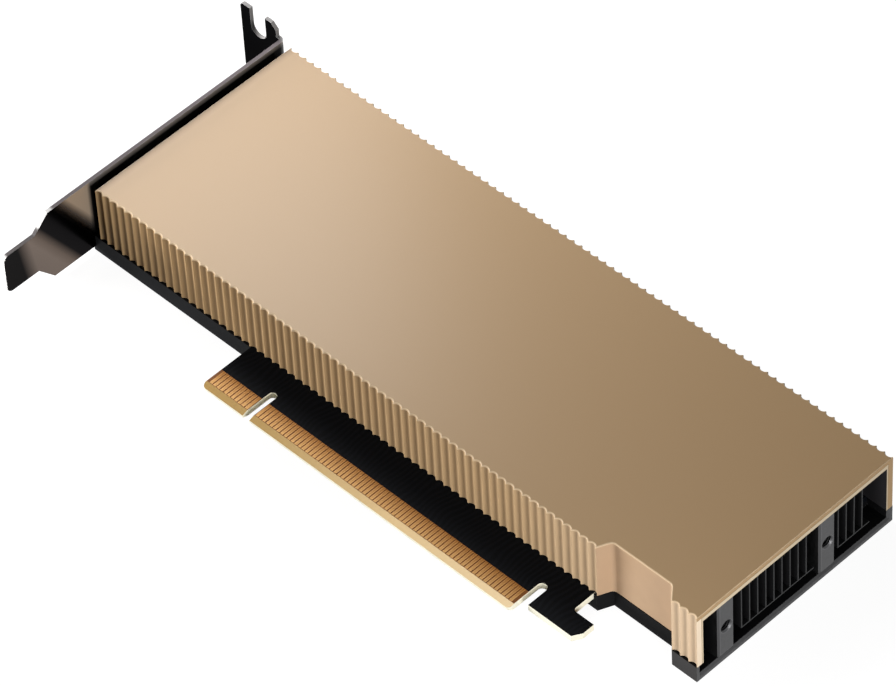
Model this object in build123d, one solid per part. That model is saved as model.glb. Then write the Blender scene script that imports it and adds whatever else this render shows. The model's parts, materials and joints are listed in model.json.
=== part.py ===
# Passive accelerator card, low profile and single slot, lying on its rear tray.
# Millimetres. x runs from the bracket to the far end, y away from the edge contacts,
# z away from the board's component side. The origin is on the centre line of the
# edge connector's key notch, at the contact edge, in the component face of the board.

from build123d import *
import os

# Edge connector and board
BOARD_T = 1.57
KEY_W = 1.90
KEY_DEPTH = 8.25
LEFT_TAB = 11.65
RIGHT_TAB = 71.65
CONTACT_PITCH = 1.00
CONTACT_W = 0.70
CONTACT_EDGE = 0.55
CONTACT_LOW_Y = 1.50
CONTACT_HIGH_Y = 5.40
CONTACT_T = 0.05
LEFT_CONTACTS = 11
RIGHT_CONTACTS = 71
TAB_BEVEL_RISE = 1.30
TAB_BEVEL_DEPTH = 0.47
TAB_CORNER_R = 1.00
LATCH_SLOT_W = 2.20
LATCH_SLOT_DEPTH = 9.00
HOOK_LOW_Y = 3.00
HOOK_BOTTOM_L = 11.40
HOOK_CHAMFER_X = 1.25
HOOK_CHAMFER_Y = 2.05
HOOK_HIGH_Y = 8.00
HOOK_NECK_IN = 5.45
HOOK_NECK_R = 0.70
BOARD_EDGE_GAP = 0.20
BOARD_END_GAP = 0.60

# Corrugated cover
COVER_START_X = -56.45
COVER_L = 165.65
COVER_FRONT_Y = 13.57
CARD_H = 68.90
COVER_TOP_Z = 14.30
COVER_WALL = 1.80
COVER_ROOF = 2.10
FLUTE_COUNT = 76
FLUTE_DEPTH = 0.56
RIDGE_FLAT = 0.16
END_CHAMFER = 0.15
RELIEF_FLUTE_COUNT = 9
END_FLUTE_COUNT = 3
RELIEF_DEPTH = 3.20
RELIEF_RUN_IN = 1.45
RELIEF_RUN_OUT = 2.77
RELIEF_R = 1.20
LUG_W = 5.20
LUG_DEPTH = 3.50
LUG_H = 6.00
NEAR_SCREW_IN = 12.45
FAR_SCREW_IN = 37.20

# Rear tray
REAR_HEIGHT = 2.67
TRAY_FLOOR = 1.38
TRAY_WALL = 1.25
TRAY_PROUD = 0.10
TRAY_CORNER_R = 0.40
TRAY_END_CHAMFER = 0.50
LEDGE_W = 4.50
FILM_T = 0.20
FILM_GAP = 0.40

# Bracket
BRACKET_T = 0.86
BRACKET_GAP = 1.55
BRACKET_W = 18.42
BRACKET_H = 79.20
BEND_R = 0.40
TONGUE_L = 8.50
SHOULDER_L = 3.90
TONGUE_W = 10.19
TONGUE_LIFT = 0.35
TONGUE_R = 1.50
MOUNT_TAB_L = 11.43
MOUNT_TAB_LIFT = 3.26
MOUNT_TAB_W = 18.42
MOUNT_TAB_R = 0.90
SCREW_SLOT_W = 4.42
SCREW_SLOT_X = 6.35
SCREW_SLOT_DEPTH = 6.86
INNER_PRONG_X = 0.94
INNER_PRONG_CHAMFER = 1.42
VENT_W = 2.40
VENT_H = 10.60
VENT_PITCH = 4.00
VENT_ROW_L = 46.00
VENT_POST_GAP = 1.00

# End posts, shared by both ends
POST_W = 4.40
POST_L = 4.80
FRONT_POST_IN = 8.23
BACK_POST_IN = 18.70
POST_CHAMFER = 0.40
POST_FOOT_CHAMFER = 0.70
POST_HOLE_Z = 5.10
POST_HOLE_R = 1.25
POST_HOLE_DEPTH = 4.00
POST_HOLE_CHAMFER = 0.35

# Heatsink
PLATE_START_IN = 2.60
PLATE_END_IN = 0.80
PLATE_SIDE_GAP = 0.25
PLATE_LOW_Z = 2.20
REGULATOR_PLATE_L = 27.00
PILLAR_R = 2.40
PLATE_T = 3.00
REGULATOR_PLATE_T = 1.00
FIN_PITCH = 2.27
FIN_T = 0.30
FIN_SIDE_IN = 0.22
FIN_END_RECESS = 0.30
FIN_ROOF_GAP = 0.20
FIN_DROP_Z = 0.35
FIN_PLATE_GAP = 0.50

# Fasteners, metric
M2_R = 1.00
M2_HEAD_R = 1.90
M2_HEAD_T = 1.00
M2_CLEAR_R = 1.25
POST_SCREW_R = 1.25
POST_SCREW_HEAD_R = 2.40
BRACKET_SCREW_R = 1.25
BRACKET_SCREW_HEAD_R = 2.75
BRACKET_SCREW_HEAD_T = 1.60
BRACKET_SCREW_L = 3.60
RECESS_W = 1.50
RECESS_DEPTH = 0.60
ACCESS_HOLE_R = 3.00
SCREW_REACH = 4.00
CUT_SPARE = 5.00

# Electronics
GPU_X = 18.00
SUBSTRATE_W = 35.00
SUBSTRATE_T = 1.30
DIE_L = 20.40
DIE_W = 14.50
DIE_T = 0.80
STIFFENER_W = 4.00
STIFFENER_T = 0.60
MEMORY_L = 14.00
MEMORY_W = 12.00
MEMORY_T = 1.20
MEMORY_PITCH = 14.50
CHIP_GAP = 0.60
HEATSINK_SCREW_IN = 1.50
INDUCTOR_W = 7.00
INDUCTOR_T = 3.20
INDUCTOR_PAD_W = 6.00
INDUCTOR_CHAMFER = 0.50
INDUCTOR_PITCH = 8.30
INDUCTOR_IN = 16.00
STAGE_L = 6.00
STAGE_W = 5.00
STAGE_T = 0.80
STAGE_IN = 24.50
BULK_CAP_L = 7.30
BULK_CAP_W = 4.30
BULK_CAP_T = 1.90
BULK_CAP_IN = 6.50
CHIP_W = 5.00
CHIP_T = 0.90
SMALL_CAP_L = 1.60
SMALL_CAP_W = 0.80
SMALL_CAP_T = 0.80
SMALL_CAP_STEP = (3.00, 2.20)
FRONT_CAP_IN = 6.50
FRONT_CAP_ROW_COUNT = 15
REAR_CAP_GRID_COUNT = 5
CHIP_PLACES = ((14.00, -15.00), (14.00, -7.00), (14.00, 9.00),
               (22.00, -11.00), (22.00, 3.00), (22.00, 17.00))
REAR_PAD_L = 30.00
REAR_PAD_W = 12.00

# Derived planes and edges
TAB_X0 = -KEY_W / 2 - LEFT_TAB
TAB_X1 = KEY_W / 2 + RIGHT_TAB
HOOK_X0 = TAB_X1 + LATCH_SLOT_W
HOOK_X1 = HOOK_X0 + HOOK_BOTTOM_L + HOOK_CHAMFER_X
NECK_X = HOOK_X1 - HOOK_NECK_IN
COVER_END_X = COVER_START_X + COVER_L
COVER_BACK_Y = CARD_H
ROOF_Z = COVER_TOP_Z - COVER_ROOF
FLUTE_PITCH = COVER_L / FLUTE_COUNT
RELIEF_LAST = FLUTE_COUNT - END_FLUTE_COUNT
RELIEF_FIRST = RELIEF_LAST - RELIEF_FLUTE_COUNT
RELIEF_X0 = COVER_START_X + RELIEF_FIRST * FLUTE_PITCH
RELIEF_X1 = COVER_START_X + RELIEF_LAST * FLUTE_PITCH
INNER_FRONT_Y = COVER_FRONT_Y + COVER_WALL
INNER_BACK_Y = COVER_BACK_Y - COVER_WALL
MIDDLE_Y = (INNER_FRONT_Y + INNER_BACK_Y) / 2
BOARD_LOW_Z = -BOARD_T
TRAY_LOW_Z = -BOARD_T - REAR_HEIGHT
TRAY_FLOOR_Z = TRAY_LOW_Z + TRAY_FLOOR
FILM_TOP_Z = TRAY_FLOOR_Z + FILM_T
TRAY_FRONT_Y = COVER_FRONT_Y - TRAY_PROUD
TRAY_INNER_FRONT_Y = TRAY_FRONT_Y + TRAY_WALL
TRAY_INNER_BACK_Y = COVER_BACK_Y - TRAY_WALL
BRACKET_IN_X = COVER_START_X - BRACKET_GAP
BRACKET_OUT_X = BRACKET_IN_X - BRACKET_T
BRACKET_LOW_Z = TRAY_FLOOR_Z
BRACKET_HIGH_Z = BRACKET_LOW_Z + BRACKET_W
BRACKET_MID_Z = (BRACKET_LOW_Z + BRACKET_HIGH_Z) / 2
SEAT_Y = CARD_H - BRACKET_T
TONGUE_END_Y = CARD_H - BRACKET_H
TONGUE_TOP_Y = TONGUE_END_Y + TONGUE_L
SHOULDER_Y = TONGUE_TOP_Y + SHOULDER_L
MOUNT_TAB_LOW_Z = BRACKET_LOW_Z + MOUNT_TAB_LIFT
MOUNT_TAB_HIGH_Z = MOUNT_TAB_LOW_Z + MOUNT_TAB_W
MOUNT_TAB_END_X = BRACKET_OUT_X - MOUNT_TAB_L
NEAR_POST_X = BRACKET_IN_X + POST_L / 2
FAR_POST_X = COVER_END_X - POST_L / 2
POST_Y = (COVER_FRONT_Y + FRONT_POST_IN, COVER_BACK_Y - BACK_POST_IN)
BOARD_X0 = BRACKET_IN_X + POST_L + BOARD_END_GAP
BOARD_X1 = COVER_END_X - POST_L - BOARD_END_GAP
PLATE_X0 = BOARD_X0 + PLATE_START_IN
PLATE_X1 = BOARD_X1 - PLATE_END_IN
PLATE_SPLIT_X = PLATE_X1 - REGULATOR_PLATE_L
PLATE_Y = (INNER_FRONT_Y + LUG_DEPTH + PLATE_SIDE_GAP, INNER_BACK_Y - LUG_DEPTH - PLATE_SIDE_GAP)
PLATE_TOP_Z = PLATE_LOW_Z + PLATE_T
REGULATOR_LOW_Z = PLATE_TOP_Z - REGULATOR_PLATE_T
FIN_TOP_Z = ROOF_Z - FIN_ROOF_GAP
FIN_FIRST_Y = PLATE_Y[0] + FIN_SIDE_IN
FIN_COUNT = int((PLATE_Y[1] - FIN_FIRST_Y) / FIN_PITCH)
DIE_TOP_Z = SUBSTRATE_T + DIE_T
COVER_SCREWS = [(x, y)
                for x in (COVER_START_X + NEAR_SCREW_IN, GPU_X, COVER_END_X - FAR_SCREW_IN)
                for y in (INNER_FRONT_Y + LUG_DEPTH / 2, INNER_BACK_Y - LUG_DEPTH / 2)]
PILLAR_X = SUBSTRATE_W / 2 + CHIP_GAP + PILLAR_R
PILLAR_Y = SUBSTRATE_W / 2 - HEATSINK_SCREW_IN
PILLARS = [(GPU_X + i * PILLAR_X, MIDDLE_Y + j * PILLAR_Y) for i in (-1, 1) for j in (-1, 1)]
POSTS = [(x, y) for x in (NEAR_POST_X, FAR_POST_X) for y in POST_Y]
MEMORY_OUT = PILLAR_X + PILLAR_R + CHIP_GAP + MEMORY_L / 2
MEMORY = [(GPU_X + side * MEMORY_OUT, MIDDLE_Y + row * MEMORY_PITCH)
          for side in (-1, 1) for row in (-1, 0, 1)]
INDUCTOR_COUNT = int((PLATE_Y[1] - PLATE_Y[0]) / INDUCTOR_PITCH)
REGULATOR_ROWS = [MIDDLE_Y + (i - (INDUCTOR_COUNT - 1) / 2) * INDUCTOR_PITCH
                  for i in range(INDUCTOR_COUNT)]
CHIPS = [(PLATE_X0 + x, MIDDLE_Y + y) for x, y in CHIP_PLACES]
PARTS = {}


def block(x0, x1, y0, y1, z0, z1):
    """A box between two corners."""
    size = Box(x1 - x0, y1 - y0, z1 - z0)
    return Pos((x0 + x1) / 2, (y0 + y1) / 2, (z0 + z1) / 2) * size


def tile(x, y, length, width, z0, z1):
    """A box centred on a place in the board's plane."""
    return block(x - length / 2, x + length / 2, y - width / 2, y + width / 2, z0, z1)


def prism(points, z0, z1):
    """A closed outline of straight sides, raised along z."""
    return Pos(0, 0, z0) * extrude(make_face(Polyline(*points, close=True)), z1 - z0)


def rod(x, y, z0, z1, radius):
    """A cylinder along z."""
    return Pos(x, y, (z0 + z1) / 2) * Cylinder(radius, z1 - z0)


def housing_points(front_y, x0, x1):
    """The housing's front side with its relief, and its straight back."""
    deep_y = front_y + RELIEF_DEPTH
    return [(x0, front_y), (RELIEF_X0, front_y), (RELIEF_X0 + RELIEF_RUN_IN, deep_y),
            (RELIEF_X1 - RELIEF_RUN_OUT, deep_y), (RELIEF_X1, front_y), (x1, front_y),
            (x1, COVER_BACK_Y), (x0, COVER_BACK_Y)]


def housing_inside(front_y, wall, z0, z1):
    """The space inside walls of one thickness, open at both ends of the card."""
    outline = housing_points(front_y, BRACKET_OUT_X - CUT_SPARE, COVER_END_X + CUT_SPARE)
    outer = make_face(Polyline(*outline, close=True))
    inner = offset(outer, amount=-wall, kind=Kind.INTERSECTION)
    return Pos(0, 0, z0) * extrude(inner, z1 - z0)


def fluted_run(first, last, ridge_y, hollow):
    """Shallow round channels side by side, with narrow ridges between them."""
    edges = []
    step = 1 if last > first else -1
    for i in range(first, last, step):
        start = COVER_START_X + i * FLUTE_PITCH + step * RIDGE_FLAT / 2
        end = COVER_START_X + (i + step) * FLUTE_PITCH - step * RIDGE_FLAT / 2
        middle = ((start + end) / 2, ridge_y + hollow)
        edges.append(ThreePointArc((start, ridge_y), middle, (end, ridge_y)))
        if i + step != last:
            edges.append(Line((end, ridge_y), (end + step * RIDGE_FLAT, ridge_y)))
    return edges


def cover_face():
    """The cover's outline, seen from above."""
    half = RIDGE_FLAT / 2
    deep_y = COVER_FRONT_Y + RELIEF_DEPTH
    relief = FilletPolyline(
        (RELIEF_X0 - half, COVER_FRONT_Y), (RELIEF_X0, COVER_FRONT_Y),
        (RELIEF_X0 + RELIEF_RUN_IN, deep_y), (RELIEF_X1 - RELIEF_RUN_OUT, deep_y),
        (RELIEF_X1, COVER_FRONT_Y), (RELIEF_X1 + half, COVER_FRONT_Y),
        radius=(half / 2, RELIEF_R, RELIEF_R, half / 2))
    edges = [Line((COVER_START_X, COVER_FRONT_Y), (COVER_START_X + half, COVER_FRONT_Y))]
    edges += fluted_run(0, RELIEF_FIRST, COVER_FRONT_Y, FLUTE_DEPTH)
    edges.append(relief)
    edges += fluted_run(RELIEF_LAST, FLUTE_COUNT, COVER_FRONT_Y, FLUTE_DEPTH)
    edges.append(Polyline((COVER_END_X - half, COVER_FRONT_Y), (COVER_END_X, COVER_FRONT_Y),
                          (COVER_END_X, COVER_BACK_Y), (COVER_END_X - half, COVER_BACK_Y)))
    edges += fluted_run(FLUTE_COUNT, 0, COVER_BACK_Y, -FLUTE_DEPTH)
    edges.append(Polyline((COVER_START_X + half, COVER_BACK_Y), (COVER_START_X, COVER_BACK_Y),
                          (COVER_START_X, COVER_FRONT_Y)))
    return make_face([edge for curve in edges for edge in curve.edges()])


def make_cover():
    """One-piece corrugated cover: a roof on two fluted walls, open at both ends."""
    cover = extrude(cover_face(), COVER_TOP_Z)
    end_edge = cover.edges().filter_by(Axis.Y).sort_by(Axis.X)[-2:].sort_by(Axis.Z)[-1]
    cover = chamfer(end_edge, END_CHAMFER)
    cover -= housing_inside(COVER_FRONT_Y, COVER_WALL, 0, ROOF_Z)
    for x, y in COVER_SCREWS:
        cover += tile(x, y, LUG_W, LUG_DEPTH, 0, LUG_H)
        cover -= rod(x, y, 0, SCREW_REACH, M2_R)
    return cover


def countersink(x, y, head_r, shank_r):
    """The cone under a flat screw head, from the tray's underside."""
    depth = head_r - shank_r
    return Pos(x, y, TRAY_LOW_Z + depth / 2) * Cone(head_r, shank_r, depth)


def make_tray():
    """Rear tray with raised side walls, ledges for the board and a lip under the bracket."""
    points = housing_points(TRAY_FRONT_Y, BRACKET_OUT_X, COVER_END_X)
    tray = prism(points, TRAY_LOW_Z, 0)
    near_corners = tray.edges().filter_by(Axis.Z).group_by(Axis.X)[0]
    tray = fillet(near_corners, TRAY_CORNER_R)
    tray -= housing_inside(TRAY_FRONT_Y, TRAY_WALL, TRAY_FLOOR_Z, 0)
    end_edges = tray.edges().filter_by_position(Axis.X, COVER_END_X, COVER_END_X)
    inner_end = [edge for edge in end_edges
                 if edge.center().Z > TRAY_LOW_Z and edge.center().Z < 0
                 and TRAY_FRONT_Y < edge.center().Y < COVER_BACK_Y]
    tray = chamfer(inner_end, TRAY_END_CHAMFER)
    ledges = housing_inside(TRAY_FRONT_Y, TRAY_WALL, TRAY_FLOOR_Z, BOARD_LOW_Z)
    ledges -= housing_inside(TRAY_FRONT_Y, TRAY_WALL + LEDGE_W, TRAY_FLOOR_Z, BOARD_LOW_Z)
    tray += ledges & block(BOARD_X0, BOARD_X1, 0, CARD_H, TRAY_FLOOR_Z, BOARD_LOW_Z)
    tray -= block(BRACKET_OUT_X - CUT_SPARE, BRACKET_IN_X, 0, CARD_H + CUT_SPARE,
                  TRAY_FLOOR_Z, 0)
    tray -= block(TAB_X0 - BOARD_EDGE_GAP, NECK_X + BOARD_EDGE_GAP, 0,
                  TRAY_INNER_FRONT_Y + RELIEF_DEPTH, BOARD_LOW_Z, 0)
    for x, y in COVER_SCREWS:
        tray -= rod(x, y, TRAY_LOW_Z, BOARD_LOW_Z, M2_R)
        tray -= countersink(x, y, M2_HEAD_R, M2_R)
    for x, y in POSTS:
        tray -= rod(x, y, TRAY_LOW_Z, TRAY_FLOOR_Z, POST_SCREW_R)
        tray -= countersink(x, y, POST_SCREW_HEAD_R, POST_SCREW_R)
    for x, y in PILLARS:
        tray -= rod(x, y, TRAY_LOW_Z, BOARD_LOW_Z, ACCESS_HOLE_R)
    return tray


def tab_bevel(side_z, inward):
    """The wedge that is cut from one face along the contact edge."""
    inner_z = side_z + inward * TAB_BEVEL_DEPTH
    spare_z = side_z - inward * CUT_SPARE
    points = [(-CUT_SPARE, spare_z), (-CUT_SPARE, inner_z), (0, inner_z),
              (TAB_BEVEL_RISE, side_z), (TAB_BEVEL_RISE, spare_z)]
    face = Plane.YZ * make_face(Polyline(*points, close=True))
    length = TAB_X1 - TAB_X0 + 2 * CUT_SPARE
    return Pos(TAB_X0 - CUT_SPARE, 0, 0) * extrude(face, length, dir=(1, 0, 0))


def make_board():
    """Circuit board with its edge connector, key notch, latch slot and hook."""
    front_y = TRAY_INNER_FRONT_Y + BOARD_EDGE_GAP
    back_y = TRAY_INNER_BACK_Y - BOARD_EDGE_GAP
    root_y = front_y + RELIEF_DEPTH
    inset = TRAY_WALL + BOARD_EDGE_GAP
    body = housing_inside(TRAY_FRONT_Y, inset, BOARD_LOW_Z, 0)
    body &= block(BOARD_X0, BOARD_X1, front_y, back_y, BOARD_LOW_Z, 0)
    tab = block(TAB_X0, TAB_X1, 0, root_y, BOARD_LOW_Z, 0)
    low_corners = tab.edges().filter_by(Axis.Z).group_by(Axis.Y)[0]
    tab = fillet(low_corners, TAB_CORNER_R)
    for side_z, inward in ((0, -1), (BOARD_LOW_Z, 1)):
        tab -= tab_bevel(side_z, inward)
    slot_low_y = LATCH_SLOT_DEPTH - LATCH_SLOT_W
    hook = prism([(TAB_X1, slot_low_y), (HOOK_X0, slot_low_y),
                  (HOOK_X0, HOOK_LOW_Y), (HOOK_X0 + HOOK_BOTTOM_L, HOOK_LOW_Y),
                  (HOOK_X1, HOOK_LOW_Y + HOOK_CHAMFER_Y), (HOOK_X1, HOOK_HIGH_Y),
                  (NECK_X, HOOK_HIGH_Y), (NECK_X, root_y), (TAB_X1, root_y)],
                 BOARD_LOW_Z, 0)
    neck_corner = hook.edges().filter_by(Axis.Z).sort_by(
        lambda edge: abs(edge.center().X - NECK_X) + abs(edge.center().Y - HOOK_HIGH_Y))[0]
    hook = fillet(neck_corner, HOOK_NECK_R)
    board = body + tab + hook
    key_top = KEY_DEPTH - KEY_W / 2
    slot_top = LATCH_SLOT_DEPTH - LATCH_SLOT_W / 2
    slot_x = TAB_X1 + LATCH_SLOT_W / 2
    board -= block(-KEY_W / 2, KEY_W / 2, 0, key_top, BOARD_LOW_Z, 0)
    board -= rod(0, key_top, BOARD_LOW_Z, 0, KEY_W / 2)
    board -= block(TAB_X1, HOOK_X0, 0, slot_top, BOARD_LOW_Z, 0)
    board -= rod(slot_x, slot_top, BOARD_LOW_Z, 0, LATCH_SLOT_W / 2)
    for x, y in COVER_SCREWS + PILLARS:
        board -= rod(x, y, BOARD_LOW_Z, 0, M2_CLEAR_R)
    return board


def make_contacts(z0, z1):
    """One face's contact pads, both sides of the key notch."""
    first = KEY_W / 2 + CONTACT_EDGE
    places = [-first - i * CONTACT_PITCH for i in range(LEFT_CONTACTS)]
    places += [first + i * CONTACT_PITCH for i in range(RIGHT_CONTACTS)]
    half = CONTACT_W / 2
    return [block(x - half, x + half, CONTACT_LOW_Y, CONTACT_HIGH_Y, z0, z1) for x in places]


def side_outline():
    """The bracket seen along x: body, shoulders and tongue, up to the mounting tab."""
    low_tongue = BRACKET_MID_Z + TONGUE_LIFT - TONGUE_W / 2
    high_tongue = low_tongue + TONGUE_W
    points = [(CARD_H, BRACKET_LOW_Z), (CARD_H, MOUNT_TAB_HIGH_Z),
              (SEAT_Y - BEND_R, MOUNT_TAB_HIGH_Z), (SEAT_Y - BEND_R, BRACKET_HIGH_Z),
              (SHOULDER_Y, BRACKET_HIGH_Z), (TONGUE_TOP_Y, high_tongue),
              (TONGUE_END_Y, high_tongue), (TONGUE_END_Y, low_tongue),
              (TONGUE_TOP_Y, low_tongue), (SHOULDER_Y, BRACKET_LOW_Z)]
    face = make_face(Polyline(*points, close=True))
    tips = face.vertices().group_by(Axis.X)[0]
    face = fillet(tips, TONGUE_R)
    start_x = MOUNT_TAB_END_X - CUT_SPARE
    return Pos(start_x, 0, 0) * extrude(Plane.YZ * face, MOUNT_TAB_L + 2 * CUT_SPARE)


def top_outline():
    """The bracket seen along y: body edge and mounting tab with its open screw slot."""
    prong_x = BRACKET_OUT_X - INNER_PRONG_X
    cut = INNER_PRONG_CHAMFER
    points = [(BRACKET_IN_X, BRACKET_LOW_Z), (BRACKET_IN_X, BRACKET_HIGH_Z),
              (prong_x, BRACKET_HIGH_Z), (prong_x, MOUNT_TAB_HIGH_Z - cut),
              (prong_x - cut, MOUNT_TAB_HIGH_Z), (MOUNT_TAB_END_X, MOUNT_TAB_HIGH_Z),
              (MOUNT_TAB_END_X, MOUNT_TAB_LOW_Z), (prong_x, MOUNT_TAB_LOW_Z),
              (prong_x, BRACKET_LOW_Z)]
    face = make_face(Polyline(*points, close=True))
    face = fillet(face.vertices().group_by(Axis.X)[0], MOUNT_TAB_R)
    slot_x = BRACKET_OUT_X - SCREW_SLOT_X
    slot_mid_z = MOUNT_TAB_HIGH_Z - SCREW_SLOT_DEPTH + SCREW_SLOT_W / 2
    face -= Pos(slot_x, slot_mid_z) * Circle(SCREW_SLOT_W / 2)
    face -= Pos(slot_x, slot_mid_z + SCREW_SLOT_DEPTH / 2) * Rectangle(
        SCREW_SLOT_W, SCREW_SLOT_DEPTH)
    return extrude(Plane.XZ * face, CARD_H + BRACKET_H, both=True)


def vent_places():
    """Places of the vents along the bracket, clear of the screws into the posts."""
    row_count = int(VENT_ROW_L / VENT_PITCH)
    clear = BRACKET_SCREW_HEAD_R + VENT_W / 2 + VENT_POST_GAP
    row = [MIDDLE_Y + (i - row_count / 2) * VENT_PITCH for i in range(row_count + 1)]
    return [y for y in row if min(abs(y - post_y) for post_y in POST_Y) > clear]


def make_bracket():
    """Low-profile bracket, folded from one sheet, with vents for the exhaust air."""
    points = [(BRACKET_IN_X, TONGUE_END_Y), (BRACKET_IN_X, CARD_H), (MOUNT_TAB_END_X, CARD_H),
              (MOUNT_TAB_END_X, SEAT_Y), (BRACKET_OUT_X, SEAT_Y), (BRACKET_OUT_X, TONGUE_END_Y)]
    face = make_face(Polyline(*points, close=True))
    for x, y, radius in ((BRACKET_OUT_X, SEAT_Y, BEND_R),
                         (BRACKET_IN_X, CARD_H, BEND_R + BRACKET_T)):
        corner = face.vertices().sort_by(lambda v: abs(v.X - x) + abs(v.Y - y))[0]
        face = fillet(corner, radius)
    sheet = Pos(0, 0, BRACKET_LOW_Z) * extrude(face, MOUNT_TAB_HIGH_Z - BRACKET_LOW_Z)
    bracket = sheet & side_outline() & top_outline()
    vent = extrude(Plane.YZ * SlotOverall(VENT_H, VENT_W, rotation=90), BRACKET_T, both=True)
    mid_x = (BRACKET_IN_X + BRACKET_OUT_X) / 2
    for y in vent_places():
        bracket -= Pos(mid_x, y, BRACKET_MID_Z) * vent
    for y in POST_Y:
        bracket -= Pos(mid_x, y, POST_HOLE_Z) * Rot(0, 90, 0) * Cylinder(
            BRACKET_SCREW_R, 2 * BRACKET_T)
    return bracket


def make_post(x, y, outward):
    """A square post between tray and roof, tapped from below and from its outer side."""
    post = tile(x, y, POST_L, POST_W, TRAY_FLOOR_Z, ROOF_Z)
    post = chamfer(post.edges().filter_by(Axis.Z), POST_CHAMFER)
    face_x = x + outward * POST_L / 2
    foot = post.edges().filter_by(Axis.Y).group_by(Axis.Z)[0]
    outer_foot = foot.sort_by(lambda edge: abs(edge.center().X - face_x))[0]
    post = chamfer(outer_foot, POST_FOOT_CHAMFER)
    hole = Rot(0, 90, 0) * Cylinder(POST_HOLE_R, POST_HOLE_DEPTH)
    post -= Pos(face_x - outward * POST_HOLE_DEPTH / 2, y, POST_HOLE_Z) * hole
    mouth = Rot(0, outward * 90, 0) * Cone(
        POST_HOLE_R, POST_HOLE_R + POST_HOLE_CHAMFER, POST_HOLE_CHAMFER)
    post -= Pos(face_x - outward * POST_HOLE_CHAMFER / 2, y, POST_HOLE_Z) * mouth
    post -= rod(x, y, TRAY_FLOOR_Z, TRAY_FLOOR_Z + SCREW_REACH, POST_SCREW_R)
    return post


def flat_screw(x, y, head_r, shank_r, top_z):
    """A flat-head screw from below, with a hexagon recess."""
    depth = head_r - shank_r
    screw = rod(x, y, TRAY_LOW_Z + depth, top_z, shank_r)
    screw += countersink(x, y, head_r, shank_r)
    recess = Pos(x, y, TRAY_LOW_Z) * extrude(RegularPolygon(RECESS_W / 2, 6), RECESS_DEPTH)
    return screw - recess


def pan_screw(x, y, seat_z, shank_end_z):
    """A pan-head screw along z, its head on the side away from the shank's end."""
    away = 1 if seat_z > shank_end_z else -1
    low, high = sorted((seat_z, seat_z + away * M2_HEAD_T))
    head = rod(x, y, low, high, M2_HEAD_R)
    shank = rod(x, y, min(seat_z, shank_end_z), max(seat_z, shank_end_z), M2_R)
    top = seat_z + away * M2_HEAD_T
    recess = extrude(RegularPolygon(RECESS_W / 2, 6), RECESS_DEPTH)
    low_recess = top - RECESS_DEPTH if away > 0 else top
    return head + shank - Pos(x, y, low_recess) * recess


def bracket_screw(y):
    """A pan-head screw through the bracket into its post."""
    head_x = BRACKET_OUT_X - BRACKET_SCREW_HEAD_T
    head = Pos(head_x + BRACKET_SCREW_HEAD_T / 2, y, POST_HOLE_Z) * Rot(0, 90, 0) * Cylinder(
        BRACKET_SCREW_HEAD_R, BRACKET_SCREW_HEAD_T)
    rim = head.edges().filter_by(GeomType.CIRCLE).sort_by(Axis.X)[0]
    head = chamfer(rim, BRACKET_SCREW_HEAD_T / 3)
    shank = Pos(BRACKET_OUT_X + BRACKET_SCREW_L / 2, y, POST_HOLE_Z) * Rot(0, 90, 0) * Cylinder(
        BRACKET_SCREW_R, BRACKET_SCREW_L)
    recess = extrude(Plane.YZ * RegularPolygon(RECESS_W, 6), RECESS_DEPTH)
    return head + shank - Pos(head_x, y, POST_HOLE_Z) * recess


def make_plate():
    """The heatsink's thick plate, on the processor and the memory."""
    plate = block(PLATE_X0, PLATE_SPLIT_X, *PLATE_Y, PLATE_LOW_Z, PLATE_TOP_Z)
    for x, y in PILLARS:
        plate += rod(x, y, 0, PLATE_LOW_Z, PILLAR_R)
        plate -= rod(x, y, 0, SCREW_REACH, M2_R)
    return plate


def make_fin(index):
    """One folded fin: a web with a foot that reaches to the next web."""
    y = FIN_FIRST_Y + index * FIN_PITCH
    foot_y = y + FIN_PITCH
    fin = block(PLATE_X0, PLATE_X1, y, y + FIN_T, PLATE_TOP_Z, FIN_TOP_Z)
    fin += block(PLATE_X0, PLATE_X1, y, foot_y, PLATE_TOP_Z, PLATE_TOP_Z + FIN_T)
    clears_posts = all(foot_y < post_y - POST_W / 2 or y > post_y + POST_W / 2
                       for post_y in POST_Y)
    if clears_posts:
        tip_x = COVER_END_X - FIN_END_RECESS
        drop_x = BOARD_X1 + FIN_PLATE_GAP
        fin += block(PLATE_X1, drop_x, y, y + FIN_T, PLATE_TOP_Z, FIN_TOP_Z)
        fin += block(drop_x, tip_x, y, y + FIN_T, FIN_DROP_Z, FIN_TOP_Z)
        fin += block(drop_x, tip_x, y, foot_y, FIN_DROP_Z, FIN_DROP_Z + FIN_T)
    return fin


def make_film():
    """Insulating film on the tray's floor, with square openings for the heatsink screws."""
    film = housing_inside(TRAY_FRONT_Y, TRAY_WALL + LEDGE_W + FILM_GAP, TRAY_FLOOR_Z, FILM_TOP_Z)
    film &= block(BOARD_X0, BOARD_X1, 0, CARD_H, TRAY_FLOOR_Z, FILM_TOP_Z)
    opening_w = 2 * (ACCESS_HOLE_R + FILM_GAP)
    for x, y in PILLARS:
        film -= tile(x, y, opening_w, opening_w, TRAY_FLOOR_Z, FILM_TOP_Z)
    return film


def gpu_tile(length, width, z0, z1):
    """A rectangle on the processor's centre."""
    return tile(GPU_X, MIDDLE_Y, length, width, z0, z1)


def make_stiffener():
    """The frame round the processor's die."""
    high_z = SUBSTRATE_T + STIFFENER_T
    hollow_w = SUBSTRATE_W - 2 * STIFFENER_W
    frame = gpu_tile(SUBSTRATE_W, SUBSTRATE_W, SUBSTRATE_T, high_z)
    return frame - gpu_tile(hollow_w, hollow_w, SUBSTRATE_T, high_z)


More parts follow.
